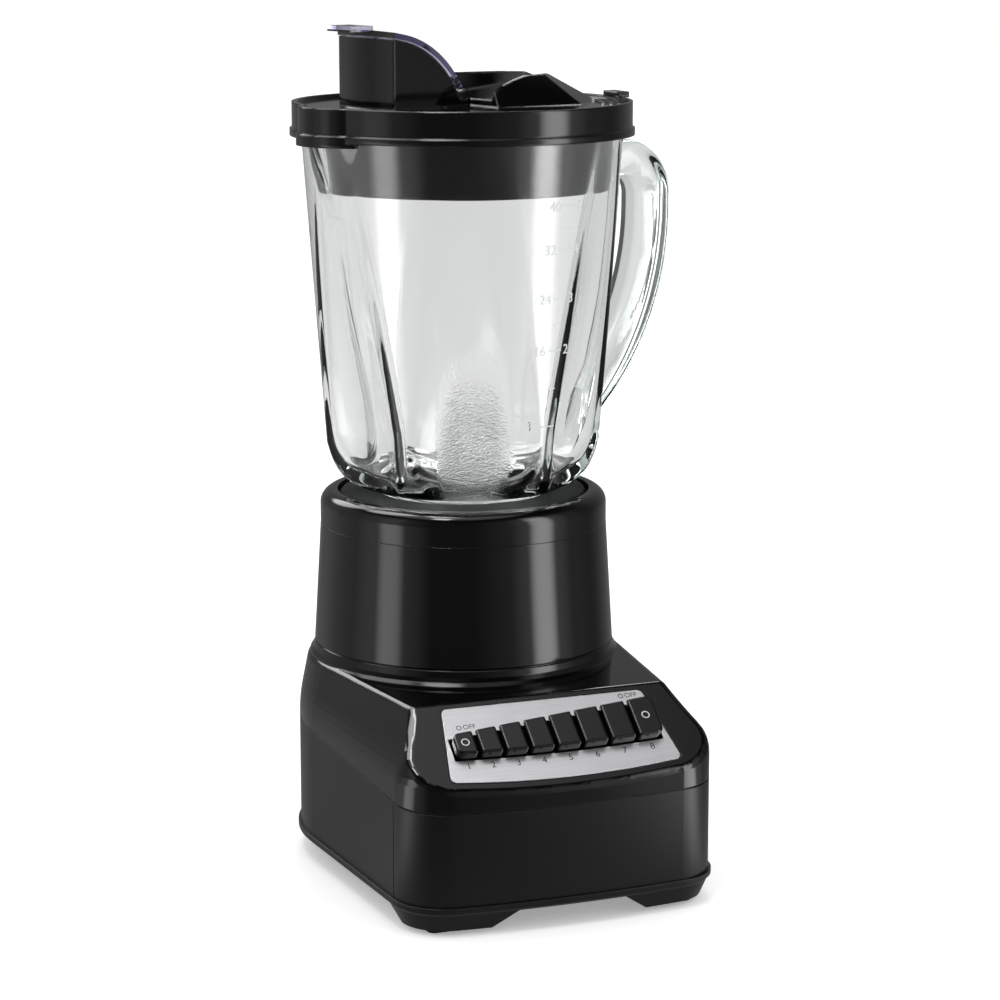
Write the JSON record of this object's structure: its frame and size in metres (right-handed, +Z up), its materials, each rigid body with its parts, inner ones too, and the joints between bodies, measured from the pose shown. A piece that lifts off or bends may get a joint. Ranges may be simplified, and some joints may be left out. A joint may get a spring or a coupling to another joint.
{
  "type": "countertop blender",
  "caption": "Countertop blender: fluted glass jar with handle, lid with a hinged filler cap, motor base with a sloped push-button panel and a spinning blade set.",
  "frame": {"origin": "middle of the footprint box, on the surface that the feet stand on", "axes": "+Z up along the jar axis; the control panel faces -Y and +X is to its right; the handle points 15 degrees from +X towards +Y and the pouring lip opposite to it"},
  "size_m": [0.1888, 0.2078, 0.3692],
  "materials": {
    "gloss_black": "glossy",
    "satin_black": "satin",
    "silver_plate": "brushed",
    "black_rubber": "matte",
    "grey_rubber": "matte",
    "clear_glass": "clear",
    "smoky_plastic": "translucent",
    "steel": "satin",
    "blade_base_steel": "satin",
    "core_steel": "matte",
    "bracket_metal": "satin",
    "copper": "satin",
    "bronze": "satin",
    "carbon": "matte",
    "moulded_nylon": "matte",
    "coupling_plastic": "matte"
  },
  "bodies": {
    "base": {"upper_housing": "gloss_black", "lower_housing": "satin_black", "cord_inlet": "satin_black", "bottom_cover": "satin_black", "rubber_feet": "black_rubber", "housing_screws": "steel", "top_collar": "gloss_black", "collar_screws": "steel", "control_plate": "silver_plate", "switch_body": "moulded_nylon", "switch_screws": "steel", "motor_stator": "core_steel", "field_coils": "copper", "upper_bracket": "bracket_metal", "lower_bracket": "bracket_metal", "shaft_bearings": "bronze", "motor_bolts": "steel", "motor_mounts": "black_rubber", "mount_screws": "steel", "brush_holders": "moulded_nylon", "carbon_brushes": "carbon"},
    "rotor": {"motor_shaft": "steel", "armature": "core_steel", "commutator": "copper", "cooling_fan": "moulded_nylon", "drive_coupling": "coupling_plastic"},
    "jar": {"glass_jar": "clear_glass", "jar_collar": "gloss_black", "jar_gasket": "grey_rubber", "blade_base": "blade_base_steel"},
    "blades": {"blade_shaft": "steel", "jar_coupling": "coupling_plastic", "lower_blade": "steel", "upper_blade": "steel", "blade_nut": "steel"},
    "lid": {"lid": "gloss_black", "cap_hinge_pin": "steel"},
    "cap": {"filler_cap": "smoky_plastic"},
    "button_1": {"button_1": "gloss_black"},
    "button_2": {"button_2": "gloss_black"},
    "button_3": {"button_3": "gloss_black"},
    "button_4": {"button_4": "gloss_black"},
    "button_5": {"button_5": "gloss_black"},
    "button_6": {"button_6": "gloss_black"},
    "button_7": {"button_7": "gloss_black"},
    "button_8": {"button_8": "gloss_black"},
    "latch": {"latch_bar": "moulded_nylon"}
  },
  "joints": [
    {"name": "motor_spin", "type": "hinge", "parent": "base", "child": "rotor", "pos_m": [-0.01467, 0.0283, 0.085], "axis": [0, 0, 1], "continuous": true},
    {"name": "jar_lift", "type": "slide", "parent": "base", "child": "jar", "axis": [0, 0, 1], "range_m": [0, 0.06]},
    {"name": "blade_spin", "type": "hinge", "parent": "jar", "child": "blades", "pos_m": [-0.01467, 0.0283, 0.155], "axis": [0, 0, 1], "continuous": true},
    {"name": "lid_lift", "type": "slide", "parent": "jar", "child": "lid", "axis": [0, 0, 1], "range_m": [0, 0.045]},
    {"name": "cap_hinge", "type": "hinge", "parent": "lid", "child": "cap", "pos_m": [-0.02094, 0.02662, 0.3385], "axis": [-0.2588, 0.9659, 0], "range_deg": [0, 100]},
    {"name": "press_1", "type": "slide", "parent": "base", "child": "button_1", "axis": [0, 0.6088, -0.7934], "range_m": [0, 0.0035], "stiffness_N_per_m": 300, "springref_m": -0.002},
    {"name": "press_2", "type": "slide", "parent": "base", "child": "button_2", "axis": [0, 0.6088, -0.7934], "range_m": [0, 0.0035], "stiffness_N_per_m": 300, "springref_m": -0.002},
    {"name": "press_3", "type": "slide", "parent": "base", "child": "button_3", "axis": [0, 0.6088, -0.7934], "range_m": [0, 0.0035], "stiffness_N_per_m": 300, "springref_m": -0.002},
    {"name": "press_4", "type": "slide", "parent": "base", "child": "button_4", "axis": [0, 0.6088, -0.7934], "range_m": [0, 0.0035], "stiffness_N_per_m": 300, "springref_m": -0.002},
    {"name": "press_5", "type": "slide", "parent": "base", "child": "button_5", "axis": [0, 0.6088, -0.7934], "range_m": [0, 0.0035], "stiffness_N_per_m": 300, "springref_m": -0.002},
    {"name": "press_6", "type": "slide", "parent": "base", "child": "button_6", "axis": [0, 0.6088, -0.7934], "range_m": [0, 0.0035], "stiffness_N_per_m": 300, "springref_m": -0.002},
    {"name": "press_7", "type": "slide", "parent": "base", "child": "button_7", "axis": [0, 0.6088, -0.7934], "range_m": [0, 0.0035], "stiffness_N_per_m": 300, "springref_m": -0.002},
    {"name": "press_8", "type": "slide", "parent": "base", "child": "button_8", "axis": [0, 0.6088, -0.7934], "range_m": [0, 0.0035], "stiffness_N_per_m": 300, "springref_m": -0.002},
    {"name": "latch_slide", "type": "slide", "parent": "base", "child": "latch", "axis": [1, 0, 0], "range_m": [0, 0.0015], "stiffness_N_per_m": 300, "springref_m": -0.002}
  ],
  "couplings": [
    {"joint": "blade_spin", "follows": "motor_spin", "ratio": 1}
  ]
}
